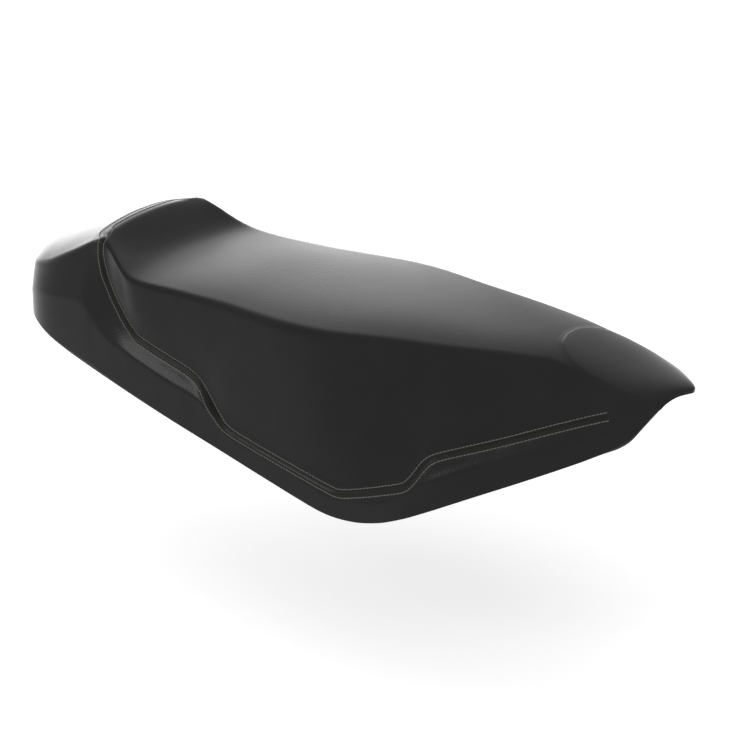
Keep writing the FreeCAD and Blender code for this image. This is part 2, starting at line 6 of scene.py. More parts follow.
import bpy
import numpy as np
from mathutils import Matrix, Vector


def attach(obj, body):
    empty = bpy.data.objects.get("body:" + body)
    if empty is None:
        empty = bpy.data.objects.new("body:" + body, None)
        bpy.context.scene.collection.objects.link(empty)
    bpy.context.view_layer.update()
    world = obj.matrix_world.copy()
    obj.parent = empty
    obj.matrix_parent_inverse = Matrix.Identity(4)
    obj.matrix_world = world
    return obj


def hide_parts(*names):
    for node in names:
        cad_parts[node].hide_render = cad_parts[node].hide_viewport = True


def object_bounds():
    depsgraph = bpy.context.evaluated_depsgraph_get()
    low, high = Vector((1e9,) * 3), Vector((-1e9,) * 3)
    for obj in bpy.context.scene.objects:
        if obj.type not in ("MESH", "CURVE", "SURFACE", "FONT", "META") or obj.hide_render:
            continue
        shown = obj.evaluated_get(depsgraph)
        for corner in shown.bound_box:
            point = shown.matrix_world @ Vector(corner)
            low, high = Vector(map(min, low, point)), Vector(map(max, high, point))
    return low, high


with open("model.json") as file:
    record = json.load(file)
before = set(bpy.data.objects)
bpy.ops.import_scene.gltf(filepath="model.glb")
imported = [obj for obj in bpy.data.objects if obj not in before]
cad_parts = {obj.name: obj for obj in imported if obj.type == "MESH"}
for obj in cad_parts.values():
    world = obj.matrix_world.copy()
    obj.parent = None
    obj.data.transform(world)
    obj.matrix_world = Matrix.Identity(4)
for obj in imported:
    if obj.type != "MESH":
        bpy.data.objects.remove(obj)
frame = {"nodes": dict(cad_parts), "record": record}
cad_low, cad_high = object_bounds()

# The part's own rails, stations and roundings, in millimetres
MM = 0.001
TAIL_X = -162.0
NOSE_X = 566.0
TAIL_PLAN_LENGTH = 88.0
TAIL_PLAN_POWER = 2.3
TAIL_TOP_LENGTH = 14.0
TAIL_TOP_POWER = 2.4
NOSE_PLAN_LENGTH = 7.0
NOSE_PLAN_POWER = 2.0
CREASE_REACH = 7.0
SEAM_REACH = 6.0
FOLD_REACH = 4.0
REACH_LIMIT = 0.45
CROWN_WIDTH_SHARE = 0.40
CROWN_DROP_SHARE = 0.10
SHOULDER_WIDTH_SHARE = 0.72
SHOULDER_DROP_SHARE = 0.42
CREST_X = -27.0
CREST_SEAM_Z = 100.0
CREST_BEND = 14.0
CREST_BEND_WIDTH = 30.0
CREST_BEND_SHARE = 0.075
SPINE = (
    (-162, 75), (-143, 82), (-125, 89.5), (-100, 100), (-58, 116.5), (-40, 122.5), (-30, 122.5), (-21, 114),
    (-12, 102), (-2, 92.5), (14, 87.5), (40, 85.5), (103, 85), (170, 83.5), (290, 82), (390, 79.5),
    (435, 78), (452, 76.2), (470, 71.8), (495, 65), (517, 59.3), (533, 56.3), (547, 54.2), (556, 53),
    (566, 50.4),
)
CREASE = (
    (-162, 84, 63), (-115, 88, 73), (-85, 88, 86.5), (-60, 87, 99.5), (-38, 86, 111), (-26, 86, 114.5),
    (-18, 88, 112), (-8, 93, 105.5), (2, 98, 97.5), (12, 102.5, 90.5), (22, 104.5, 86.7), (36, 103, 84.3),
    (73, 100, 82.3), (103, 100.5, 81), (131, 101.5, 80), (157, 105, 79), (190, 109, 78), (223, 112, 77.3),
    (245, 109.5, 77), (270, 103.5, 76.8), (309, 92, 76.2), (346, 83, 75.3), (390, 70.5, 74.7),
    (435, 57, 73), (456, 51, 71), (470, 51, 66.5), (485, 52.5, 62), (503, 52, 56.7), (517, 49.5, 52.8),
    (533, 42, 49.3), (544, 33.5, 48), (549, 27, 48.3), (556, 16.5, 49.6), (566, 6, 49.2),
)
SEAM = (
    (-162, 92, 50), (-70, 93, 70), (-29, 88, 96), (-26, 88.5, 94), (-21, 90, 78.4), (-10, 93, 60),
    (3, 96, 44), (16, 98.5, 29.5), (25, 100, 22.8), (32, 100.7, 20.3), (62, 103.5, 11.2), (85, 105.4, 5.1),
    (97, 107, 1), (106, 108.7, -4), (120, 113, -20), (138, 119.5, -37.5), (146, 121.3, -41.8),
    (174, 125.3, -47.8), (237, 132, -61), (271, 135.6, -68), (280, 136.5, -68.3), (290, 137.3, -65.5),
    (314, 138, -57.3), (345, 137.2, -45.6), (351.5, 136.8, -42), (357.4, 134, -33.5), (362, 131.5, -24.9),
    (367, 128.5, -17), (375, 124.5, -11.6), (399, 114, -4), (433, 101, 8), (463, 89, 20), (488, 80, 29.5),
    (510, 70, 37.4), (533, 54, 39.5), (544, 38, 42.8), (549, 29, 44.8), (556, 16.5, 47.6), (566, 6, 47.6),
)
SHELF = (
    (-162, 98, 32), (-90, 100, 50), (-45, 103, 52), (-31, 105, 37), (-15, 108, 21.5), (-8, 109, 17.5),
    (15, 111, 10.4), (40, 113, 1.5), (81, 116, -11.3), (107, 118, -17.5), (120, 119.7, -23),
    (130, 121, -35), (145, 124, -48), (201, 130.5, -61), (275, 139, -76), (326, 143.5, -64),
    (372, 136, -33), (430, 112, -6), (492, 86, 17), (517, 73, 26.5), (533, 60, 30), (544, 42.5, 39),
    (549, 30.5, 43.4), (556, 17, 46.9), (566, 6, 46.8),
)
RIM = (
    (-162, 98, 20), (-116, 102, 12), (-88, 104, 1), (-19, 112, -20), (61, 119, -43.5), (138, 126, -63),
    (213, 134, -81), (271, 142, -91), (299, 146, -88.5), (326, 147, -82), (350, 146, -72),
    (372, 141, -61.5), (412, 127, -42), (450, 111, -24.5), (488, 94, -6.5), (514, 79, 5.5), (523, 73, 9),
    (531, 66, 14.5), (538, 57, 25), (544, 45, 34.5), (549, 32, 41.8), (556, 17.5, 46.1), (561, 10.5, 46.4),
    (566, 6, 46),
)
BODY_STATIONS = (
    -62, -50, -43, -37, -32, -28, -24, -20, -15, -9, -2, 6, 14, 24, 36, 50, 66, 82, 95, 105, 115, 125, 136,
    150, 174, 208, 242, 263, 277, 289, 304, 324, 341, 350, 357, 364, 372, 384, 402, 424, 440, 452, 464, 478,
    494, 510,
)
END_STATION_COUNT = 7
NOSE_STATION_LENGTH = 40.0
END_CAP = 0.6
PAD_OUTLINE = ((440, 0), (443, 19), (449, 30), (464, 46), (485, 51.5), (510, 50), (533, 41), (552, 24))
PAD_MARGIN = 25.0
PAD_RISE = 1.1
PAD_SINK_START_X = 480.0
PAD_SINK_END_X = 523.0
PAD_OUTER_STEP = (-1.4, 0.6)
PAD_INNER_STEP = (2.0, 4.0)
PAD_DIP = 0.3
PAD_DIP_PLACE = 1.4
PAD_DIP_WIDTH = 0.9

# Where the crease lies on a section, as the share of its curve from one rim to the other
CREASE_T = 0.655

# How finely the cover is drawn: columns along the seat, rows above and below the seam, points on curves
END_COLUMNS = 56
REAR_COLUMNS = 36
BODY_COLUMNS = 400
UPPER_ROWS = 60
LOWER_ROWS = 26
SEAM_ROW_DISTANCES = (
    0, 0.4, 0.8, 1.2, 1.6, 2.1, 2.6, 3.2, 3.7, 4.2, 4.7, 5.2, 5.8, 6.6, 7.8, 9.4, 11.5, 14.0,
)
LENGTH_SAMPLES = 6000
SECTION_SAMPLES = 500
SEAM_SAMPLES = 900
PAD_SAMPLES = 160

# Cover details in millimetres, and shares of them
SEAM_NOSE_REACH = 10.0
SEAM_NOSE_RISE = 2.0
CREST_LINE_TOP_Z = 300.0
ON_TOP_Z = 200.0
VALLEY_DEPTH = 0.85
VALLEY_WIDTH = 1.2
SEAM_LIFT = 0.7
SEAM_LIFT_WIDTH = 7.0
SEAM_FADE_START_X = 498.0
SEAM_FADE_END_X = 520.0
TOP_FADE = 0.6
TOP_FADE_SHARE = 0.06
DUST_WIDTH = 4.5
RIPPLE_HEIGHT = 0.08
RIPPLE_WIDTH = 9.0
RIPPLE_LENGTH = 23.0
RIPPLE_WANDER = 0.7
RIPPLE_WANDER_LENGTH = 41.0
PUCKER_SHARE = 0.25
STITCH_OFFSET = 3.8
STITCH_FRONT_OFFSET = 3.2
STITCH_FRONT_START_X = 355.0
STITCH_FRONT_END_X = 385.0
STITCH_PITCH = 3.5
STITCH_LENGTH = 3.5
STITCH_RADIUS = 0.55
STITCH_END_X = 514.0
STITCH_DENT = 0.35
STITCH_DENT_WIDTH = 1.0
STITCH_TOP_Z = 119.0
STITCH_PATH_STEP = 0.5
STITCH_PATH_SMOOTHING = 9
STITCH_RINGS = 7
STITCH_SIDES = 7
STITCH_TAPER = 0.97
STITCH_ARCH = 0.30
STITCH_SINK = 0.50
STITCH_FLATNESS = 0.85
HEM_WIDTH = 9.8
HEM_HEIGHT = 18.0
HEM_FADE_START_X = 495.0
HEM_FADE_END_X = 530.0
HEM_TAIL_GAP = 14.6
HEM_NOSE_GAP = 22.6
HEM_SAG = 0.5
HEM_FADE_SHARE = 0.95
HEM_LEAN = 0.10
HEM_NARROWEST_TURN = 0.4
HEM_NARROWEST_EDGE = 0.5
HEM_TURN_SHARES = (0.06, 0.2, 0.4, 0.6, 0.8, 1.0)
HEM_RISE_SHARES = (0.1, 0.3, 0.55, 0.8, 1.0)
PAN_BLUNT = 8.0

# The stage, in metres and degrees
FLOOR_SIZE = 12.0
FLOOR_DROP = 0.16
FLOOR_GLOW = 0.33
LAMP_DISTANCE = 2.6
SKY_SOFT_STRENGTH = 0.8
CAMERA_TARGET = (0.23, 0.0, 0.0)
CAMERA_AZIMUTH = 30.0
CAMERA_ELEVATION = 23.0
CAMERA_DISTANCE = 1.5
SENSOR_WIDTH_MM = 36.0
VIEW_WIDTH = 0.732


def rail(stations, x):
    """Smooth curve through the stations that never overshoots them, one row of values for each x."""
    table = np.array(stations, float)
    knots = table[:, 0]
    values = table[:, 1:]
    steps = np.diff(knots)[:, None]
    rises = np.diff(values, axis=0) / steps
    before, after = rises[:-1], rises[1:]
    left, right = steps[:-1], steps[1:]
    weight_before = 2 * right + left
    weight_after = right + 2 * left
    same_way = before * after > 0
    safe_before = np.where(same_way, before, 1.0)
    safe_after = np.where(same_way, after, 1.0)
    mean = (weight_before + weight_after) / (weight_before / safe_before + weight_after / safe_after)
    slopes = np.concatenate([rises[:1], np.where(same_way, mean, 0.0), rises[-1:]])
    x = np.clip(x, knots[0], knots[-1])
    index = np.clip(np.searchsorted(knots, x, side="right") - 1, 0, len(knots) - 2)
    step = steps[index]
    t = ((x - knots[index]) / step[:, 0])[:, None]
    return (
        values[index] * (1 + 2 * t) * (1 - t) ** 2
        + slopes[index] * step * t * (1 - t) ** 2
        + values[index + 1] * t * t * (3 - 2 * t)
        + slopes[index + 1] * step * t * t * (t - 1)
    )


def end_factor(distance, length, power):
    """Quarter superellipse: 0 at the end, 1 from length onwards."""
    u = np.clip(1 - distance / length, 0.0, 1.0)
    return (1 - u ** power) ** (1 / power)


def toward(start, end, reach):
    """Points on the way from start to end, at most a given share of it."""
    distance = np.linalg.norm(end - start, axis=1, keepdims=True)
    share = np.minimum(reach / np.maximum(distance, 1e-6), REACH_LIMIT)
    return start + (end - start) * share


def section_poles(x):
    """Half sections of the cushion from the spine to the rim: (x, pole, half width and height)."""
    plan = end_factor(x - TAIL_X, TAIL_PLAN_LENGTH, TAIL_PLAN_POWER)
    plan = plan * end_factor(NOSE_X - x, NOSE_PLAN_LENGTH, NOSE_PLAN_POWER)
    rise = end_factor(x - TAIL_X, TAIL_TOP_LENGTH, TAIL_TOP_POWER)
    top = rail(SPINE, x)[:, 0]
    crease = rail(CREASE, x)
    seam = rail(SEAM, x)
    shelf = rail(SHELF, x)
    rim = rail(RIM, x)
    drop = crease[:, 1] - top
    spine = np.stack([np.zeros_like(x), top], 1)
    crown = np.stack([crease[:, 0] * CROWN_WIDTH_SHARE, top + drop * CROWN_DROP_SHARE], 1)
    shoulder = np.stack([crease[:, 0] * SHOULDER_WIDTH_SHARE, top + drop * SHOULDER_DROP_SHARE], 1)
    poles = np.stack([
        spine,
        crown,
        shoulder,
        toward(crease, shoulder, CREASE_REACH),
        crease,
        toward(crease, seam, CREASE_REACH),
        (crease + seam) / 2,
        toward(seam, crease, SEAM_REACH),
        seam,
        toward(shelf, seam, FOLD_REACH),
        shelf,
        toward(shelf, rim, FOLD_REACH),
        (shelf + rim) / 2,
        rim,
    ], 1)
    poles[..., 0] *= plan[:, None]
    floor = rim[:, None, 1]
    poles[..., 1] = floor + (poles[..., 1] - floor) * rise[:, None]
    return poles


def stations():
    """The x of the part's sections, close together at the two rounded ends."""
    steps = np.arange(END_STATION_COUNT) / END_STATION_COUNT
    ends = []
    for length in (TAIL_PLAN_LENGTH, NOSE_STATION_LENGTH):
        start = math.acos(1 - END_CAP / length)
        ends.append(length * (1 - np.cos(start + (math.pi / 2 - start) * steps)))
    return np.concatenate([TAIL_X + ends[0], BODY_STATIONS, NOSE_X - ends[1][::-1]])


def spline_weights(t, count):
    """Weights of a cubic B-spline's poles at the parameters t, for evenly spaced knots with full ends."""
    degree = 3
    inner = np.linspace(0, 1, count - degree + 1)
    knots = np.concatenate([np.zeros(degree), inner, np.ones(degree)])
    t = np.clip(t, 0, 1 - 1e-9)[..., None]
    weights = ((knots[:-1] <= t) & (t < knots[1:])).astype(float)
    for k in range(1, degree + 1):
        low, high = knots[:-k - 1], knots[k + 1:]
        left_span = np.maximum(knots[k:-1] - low, 1e-12)
        right_span = np.maximum(high - knots[1:-k], 1e-12)
        weights = (t - low) / left_span * weights[..., :-1] + (high - t) / right_span * weights[..., 1:]
    return weights


def mirrored(poles):
    """Whole sections from half ones: the right rim, over the spine, to the left rim."""
    right = poles[:, :0:-1] * np.array([-1.0, 1.0])
    return np.concatenate([right, poles], 1)


def section_points(whole, t):
    """Points of the sections at parameters t, one row of t for each section."""
    return np.einsum("xtp,xpd->xtd", spline_weights(t, whole.shape[1]), whole)


def columns(first, last):
    """The x of the mesh's columns: even along the seat, closer at its rounded ends, one on the crest."""
    quarter = np.linspace(0.0, math.pi / 2, END_COLUMNS)
    tail = first + TAIL_PLAN_LENGTH * (1 - np.cos(quarter))
    nose = last - NOSE_STATION_LENGTH * (1 - np.cos(quarter[::-1]))
    rear = np.linspace(tail[-1], CREST_X, REAR_COLUMNS)[1:]
    body = np.linspace(CREST_X, nose[0], BODY_COLUMNS)[1:-1]
    return np.concatenate([tail, rear, body, nose])


def row_lengths(total, fine, coarse_count):
    """Distances from the seam for each column: the fine list near it, then even steps to the far end."""
    scale = np.minimum(1.0, 0.5 * total / fine[-1])[:, None]
    near = fine[None, :] * scale
    share = np.linspace(0, 1, coarse_count + 1)[None, 1:]
    far = near[:, -1:] + (total[:, None] - near[:, -1:]) * share
    return np.concatenate([near, far], 1)


def interpolated(wanted, keys, values):
    """numpy's interp on each row of arrays."""
    return np.stack([np.interp(w, k, v) for w, k, v in zip(wanted, keys, values)])


def seam_curve():
    """The seam in the side view, x and height from the crest to the nose.

    It is a cubic B-spline with the rail's stations as poles."""
    ahead = [(x, z) for x, half_width, z in SEAM[:-1] if x > CREST_X]
    past_nose = (NOSE_X + SEAM_NOSE_REACH, SEAM[-1][2] + SEAM_NOSE_RISE)
    poles = np.array([(CREST_X, CREST_SEAM_Z)] + ahead + [past_nose], float)
    return spline_weights(np.linspace(0, 1, SEAM_SAMPLES), len(poles)) @ poles


def top_share(rows, width):
    """1 on top of the cushion, falling to 0 at the crease over a share of the section's curve."""
    return 1 - smooth_step(np.abs(rows - 0.5), CREASE_T - 0.5 - width, CREASE_T - 0.5)


def bent_back(points, rows):
    """The grid with its columns near the crest moved back on top of the hump, by a bell along x."""
    x = points[:, 0, 0]
    bell = np.exp(-((x[:, None] - CREST_X) / CREST_BEND_WIDTH) ** 2)
    wanted = x[:, None] - CREST_BEND * top_share(rows, CREST_BEND_SHARE) * bell
    known = np.broadcast_to(x, wanted.T.shape)
    moved = [interpolated(wanted.T, known, points[..., k].T).T for k in (1, 2)]
    return np.stack([wanted, *moved], 2)


def surface_grid():
    """Grid over the whole cover: columns along x, rows from the right rim over the top to the left rim.

    The skin is the cubic B-spline surface over the sections' poles. A column blends the sections' poles
    at its x, and a row asks for an arc length on that column, so that one row on each side lies on the
    seam. Returns the points, the rows' places on the section curve, the seam's two row numbers and the
    crest's column."""
    net_x = stations()
    net = section_poles(net_x)
    u = np.linspace(0, 1, LENGTH_SAMPLES)
    x = columns(net_x[0], net_x[-1])
    blend = spline_weights(np.interp(x, spline_weights(u, len(net_x)) @ net_x, u), len(net_x))
    whole = mirrored(np.einsum("xs,spd->xpd", blend, net))
    t = np.linspace(0.5, 1.0, SECTION_SAMPLES)
    all_t = np.broadcast_to(t, (len(x), len(t)))
    half = section_points(whole, all_t)
    lengths = np.linalg.norm(np.diff(half, axis=1), axis=2).cumsum(1)
    lengths = np.concatenate([np.zeros((len(x), 1)), lengths], 1)
    side = t > CREASE_T
    curve = seam_curve()
    seam_height = np.interp(x, curve[:, 0], curve[:, 1])[:, None]
    seam_t = interpolated(-seam_height, -half[:, side, 1], all_t[:, side])
    crest = int(np.argmin(abs(x - CREST_X)))
    seam_t[:crest] = seam_t[crest]
    seam_length = interpolated(seam_t, all_t, lengths)[:, 0]
    fine = np.array(SEAM_ROW_DISTANCES)
    upper = seam_length[:, None] - row_lengths(seam_length, fine, UPPER_ROWS)
    lower = seam_length[:, None] + row_lengths(lengths[:, -1] - seam_length, fine, LOWER_ROWS)[:, 1:]
    half_t = interpolated(np.concatenate([upper[:, ::-1], lower], 1), lengths, all_t)
    rows = np.concatenate([1 - half_t[:, :0:-1], half_t], 1)
    flat = section_points(whole, rows)
    points = np.concatenate([np.broadcast_to(x[:, None, None], flat.shape[:2] + (1,)), flat], 2)
    points = bent_back(points, rows)
    middle = half_t.shape[1] - 1
    seam_row = upper.shape[1] - 1
    return points, rows, middle - seam_row, middle + seam_row, crest


def grid_normals(points):
    """Unit normals of a grid of points, outwards."""
    along = np.gradient(points, axis=0)
    across = np.gradient(points, axis=1)
    normals = np.cross(across, along)
    length = np.linalg.norm(normals, axis=2, keepdims=True)
    normals = normals / np.maximum(length, 1e-9)
    middle = points.mean((0, 1))
    outwards = np.sign(((points - middle) * normals).sum(2).mean())
    return normals * outwards


def smooth_step(value, start, end):
    """0 up to start, 1 from end on, with level tangents at both."""
    t = np.clip((value - start) / (end - start), 0.0, 1.0)
    return t * t * (3 - 2 * t)


def pad_height(points):
    """Rise of the nose pad: two low rounded steps inside its outline, with a dip between them.

    The steps follow the distance from the outline and sink into the lip towards the nose."""
    x, y = points[..., 0], points[..., 1]
    outline = np.array(PAD_OUTLINE, float)
    shares = np.linspace(0, 1, PAD_SAMPLES)
    along = np.interp(shares, np.linspace(0, 1, len(outline)), np.arange(len(outline)))
    curve = rail(np.column_stack([np.arange(len(outline)), outline]), along)
    both = np.concatenate([curve[::-1] * np.array([1, -1]), curve[1:]])
    near = x > PAD_OUTLINE[0][0] - PAD_MARGIN
    flat = np.stack([x[near], y[near]], 1)
    distance = np.full(len(flat), 1e9)
    for a, b in zip(both[:-1], both[1:]):
        edge = b - a
        share = np.clip(((flat - a) @ edge) / (edge @ edge), 0, 1)
        distance = np.minimum(distance, np.linalg.norm(flat - a - share[:, None] * edge, axis=1))
    half_width = np.interp(flat[:, 0], curve[:, 0], curve[:, 1], left=-1.0)
    signed = np.where(abs(flat[:, 1]) < half_width, distance, -distance)
    fade = 1 - smooth_step(flat[:, 0], PAD_SINK_START_X, PAD_SINK_END_X)
    outer = smooth_step(signed, *PAD_OUTER_STEP)
    inner = smooth_step(signed, *PAD_INNER_STEP)
    dip = PAD_DIP * np.exp(-((signed - PAD_DIP_PLACE) / PAD_DIP_WIDTH) ** 2)
    height = np.zeros(x.shape)
    height[near] = PAD_RISE * (0.5 * outer + 0.5 * inner - dip) * fade
    return height


def seam_distance(points, rows):
    """Distance of each point of the cover from the seam, and the seam's length up to the nearest spot.

    Both are taken in the side view, where the seam is its curve and then an upright line on the crest;
    points on top of the cushion count as far up that line."""
    curve = seam_curve()[::2]
    path = np.concatenate([curve[::-1], [(CREST_X, CREST_LINE_TOP_Z)]])
    edge = np.diff(path, axis=0)
    lengths = np.linalg.norm(edge, axis=1)
    running = lengths.cumsum() - lengths
    on_top = np.abs(rows - 0.5) < CREASE_T - 0.5
    height = np.where(on_top, ON_TOP_Z, points[..., 2])
    distance = np.empty(height.shape)
    place = np.empty(height.shape)
    for column, (x, z) in enumerate(zip(points[:, 0, 0], height)):
        away = np.stack([np.full(len(z), x), z], 1)[:, None] - path[:-1]
        share = np.clip((away * edge).sum(2) / lengths ** 2, 0, 1)
        gap = np.linalg.norm(away - share[..., None] * edge, axis=2)
        nearest = gap.argmin(1)
        row = np.arange(len(nearest))
        distance[column] = gap[row, nearest]
        place[column] = running[nearest] + share[row, nearest] * lengths[nearest]
    return distance, place


def row_offset(x):
    """Distance of a stitch row from the seam, a little less on the front run."""
    front = smooth_step(x, STITCH_FRONT_START_X, STITCH_FRONT_END_X)
    return STITCH_OFFSET + (STITCH_FRONT_OFFSET - STITCH_OFFSET) * front


def cover_relief(points, rows):
    """Height of the cover over the plain cushion, and how near each point is to the seam from 0 to 1.

    The seam is a valley in a low swelling, each stitch row a dent with small puckers at the stitches."""
    distance, place = seam_distance(points, rows)
    lift = SEAM_LIFT * np.exp(-(distance / SEAM_LIFT_WIDTH) ** 2)
    valley = -VALLEY_DEPTH * np.exp(-(distance / VALLEY_WIDTH) ** 2)
    pucker = 1 - PUCKER_SHARE + PUCKER_SHARE * np.cos(2 * math.pi * place / STITCH_PITCH)
    from_row = distance - row_offset(points[..., 0])
    dent = -STITCH_DENT * np.exp(-(from_row / STITCH_DENT_WIDTH) ** 2) * pucker
    wander = RIPPLE_WANDER * np.sin(place / RIPPLE_WANDER_LENGTH)
    wave = np.sin(2 * math.pi * place / RIPPLE_LENGTH + wander)
    ripple = RIPPLE_HEIGHT * np.exp(-(distance / RIPPLE_WIDTH) ** 2) * wave
    less_on_top = 1 - TOP_FADE * top_share(rows, TOP_FADE_SHARE)
    fade = (1 - smooth_step(points[..., 0], SEAM_FADE_START_X, SEAM_FADE_END_X)) * less_on_top
    nearness = np.exp(-(distance / DUST_WIDTH) ** 2) * fade * less_on_top
    return (lift + valley + dent + ripple) * fade, nearness


def new_piece(name, vertices, faces, material):
    """A mesh object in metres from millimetre points and faces of four corners, riding on the seat."""
    mesh = bpy.data.meshes.new(name)
    mesh.from_pydata((np.asarray(vertices) * MM).tolist(), [], [tuple(face) for face in faces])
    mesh.validate()
    mesh.polygons.foreach_set("use_smooth", [True] * len(mesh.polygons))
    mesh.materials.append(material)
    piece = bpy.data.objects.new(name, mesh)
    bpy.context.scene.collection.objects.link(piece)
    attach(piece, "root")
    return piece


def grid_faces(numbers, flip):
    """Faces between neighbouring rows and columns of a grid of vertex numbers."""
    corners = [numbers[:-1, :-1], numbers[1:, :-1], numbers[1:, 1:], numbers[:-1, 1:]]
    faces = np.stack([corner.ravel() for corner in corners], 1)
    return faces[:, ::-1] if flip else faces


def cap_faces(right, left, flip):
    """Faces across the end of the seat, between a row of its right side and the same row of its left."""
    return grid_faces(np.stack([right, left]), flip)


def set_shares(piece, name, values):
    """A number from 0 to 1 on each vertex for the materials."""
    attribute = piece.data.attributes.new(name, "FLOAT", "POINT")
    attribute.data.foreach_set("value", np.asarray(values, np.float32).ravel())


def node(tree, kind, **settings):
    """A new shader node with its settings."""
    made = tree.nodes.new(kind)
    for key, value in settings.items():
        setattr(made, key, value)
    return made


def ramp(tree, source, stops):
    """Colour ramp over a value: stops are (position, grey or colour)."""
    made = node(tree, "ShaderNodeValToRGB")
    elements = made.color_ramp.elements
    while len(elements) < len(stops):
        elements.new(0.5)
    for element, (position, colour) in zip(elements, stops):
        element.position = position
        tone = (colour,) * 3 if isinstance(colour, (int, float)) else colour
        element.color = (*tone, 1.0)
    tree.links.new(source, made.inputs["Fac"])
    return made.outputs["Color"]


def noise(tree, coordinates, scale, detail, roughness):
    """A cloudy pattern from 0 to 1."""
    made = node(tree, "ShaderNodeTexNoise")
    made.inputs["Scale"].default_value = scale
    made.inputs["Detail"].default_value = detail
    made.inputs["Roughness"].default_value = roughness
    tree.links.new(coordinates, made.inputs["Vector"])
    return made.outputs["Fac"]


def mixed(tree, share, first, second):
    """The first colour turned into the second by a share."""
    made = node(tree, "ShaderNodeMix", data_type="RGBA", blend_type="MIX")
    for value, name in ((share, "Factor"), (first, "A"), (second, "B")):
        socket = [s for s in made.inputs if s.name == name and s.enabled][0]
        if isinstance(value, bpy.types.NodeSocket):
            tree.links.new(value, socket)
        elif name == "Factor":
            socket.default_value = value
        else:
            socket.default_value = (*value, 1.0)
    return [s for s in made.outputs if s.enabled][0]


def number(tree, operation, first, second):
    """A sum, product or the like of two numbers or sockets."""
    made = node(tree, "ShaderNodeMath", operation=operation)
    for value, socket in zip((first, second), made.inputs):
        if isinstance(value, bpy.types.NodeSocket):
            tree.links.new(value, socket)
        else:
            socket.default_value = value
    return made.outputs[0]


def bump(tree, height, strength, distance, under=None):
    """Normals of a fine relief, on top of those of a coarser one."""
    made = node(tree, "ShaderNodeBump")
    made.inputs["Strength"].default_value = strength
    made.inputs["Distance"].default_value = distance
    tree.links.new(height, made.inputs["Height"])
    if under is not None:
        tree.links.new(under, made.inputs["Normal"])
    return made.outputs["Normal"]


def new_material(name):
    """A material with one Principled shader; returns it, its tree, the shader and object coordinates."""
    material = bpy.data.materials.new(name)
    material.use_nodes = True
    tree = material.node_tree
    shader = tree.nodes["Principled BSDF"]
    coordinates = node(tree, "ShaderNodeTexCoord").outputs["Object"]
    return material, tree, shader, coordinates


def leatherette():
    """Black grained leatherette, unevenly smooth, a little dusty and duller along the seam."""
    material, tree, shader, coordinates = new_material("leatherette_black")
    seam = node(tree, "ShaderNodeAttribute", attribute_name="seam").outputs["Fac"]
    cloud = noise(tree, coordinates, scale=26.0, detail=4.0, roughness=0.55)
    base = ramp(tree, cloud, [(0.3, (0.0066, 0.0066, 0.0067)), (0.7, (0.0092, 0.0091, 0.0089))])
    dust = noise(tree, coordinates, scale=320.0, detail=3.0, roughness=0.6)
    dusty = number(tree, "MULTIPLY", seam, number(tree, "MULTIPLY", dust, 0.55))
    colour = mixed(tree, dusty, base, (0.016, 0.015, 0.012))
    tree.links.new(colour, shader.inputs["Base Color"])
    streak = noise(tree, coordinates, scale=9.0, detail=2.0, roughness=0.5)
    rough = ramp(tree, streak, [(0.3, 0.205), (0.7, 0.23)])
    tree.links.new(rough, shader.inputs["Roughness"])
    shine = ramp(tree, seam, [(0.2, 0.18), (0.8, 0.145)])
    tree.links.new(shine, shader.inputs["Specular IOR Level"])
    cells = node(tree, "ShaderNodeTexVoronoi", feature="SMOOTH_F1")
    cells.inputs["Scale"].default_value = 620.0
    cells.inputs["Smoothness"].default_value = 0.6
    warp = noise(tree, coordinates, scale=210.0, detail=2.0, roughness=0.5)
    moved = node(tree, "ShaderNodeVectorMath", operation="MULTIPLY_ADD")
    moved.inputs[1].default_value = (0.0016, 0.0016, 0.0016)
    tree.links.new(warp, moved.inputs[0])
    tree.links.new(coordinates, moved.inputs[2])
    tree.links.new(moved.outputs[0], cells.inputs["Vector"])
    pores = noise(tree, coordinates, scale=1700.0, detail=2.0, roughness=0.6)
    grain = bump(tree, cells.outputs["Distance"], strength=0.20, distance=0.0004)
    relief = bump(tree, pores, strength=0.06, distance=0.0002, under=grain)
    tree.links.new(relief, shader.inputs["Normal"])
    return material


def thread():
    """Grey-beige twisted thread."""
    material, tree, shader, coordinates = new_material("stitch_thread")
    fleck = noise(tree, coordinates, scale=2600.0, detail=2.0, roughness=0.5)
    colour = ramp(tree, fleck, [(0.3, (0.068, 0.065, 0.056)), (0.7, (0.108, 0.104, 0.090))])
    tree.links.new(colour, shader.inputs["Base Color"])
    shader.inputs["Roughness"].default_value = 0.62
    shader.inputs["Sheen Weight"].default_value = 0.2
    wave = node(tree, "ShaderNodeTexWave")
    wave.inputs["Scale"].default_value = 900.0
    wave.inputs["Distortion"].default_value = 1.5
    tree.links.new(coordinates, wave.inputs["Vector"])
    twist = bump(tree, wave.outputs["Fac"], strength=0.35, distance=0.0002)
    tree.links.new(twist, shader.inputs["Normal"])
    return material


def moulded(name, dark, light, rough, grain_scale, grain_strength):
    """Moulded plastic, rubber or foam with a fine surface grain and uneven tone."""
    material, tree, shader, coordinates = new_material(name)
    cloud = noise(tree, coordinates, scale=22.0, detail=4.0, roughness=0.6)
    tree.links.new(ramp(tree, cloud, [(0.3, dark), (0.7, light)]), shader.inputs["Base Color"])
    patch = noise(tree, coordinates, scale=60.0, detail=3.0, roughness=0.5)
    uneven = ramp(tree, patch, [(0.3, rough - 0.05), (0.7, rough + 0.07)])
    tree.links.new(uneven, shader.inputs["Roughness"])
    grain = noise(tree, coordinates, scale=grain_scale, detail=2.0, roughness=0.6)
    relief = bump(tree, grain, strength=grain_strength, distance=0.0003)
    tree.links.new(relief, shader.inputs["Normal"])
    return material


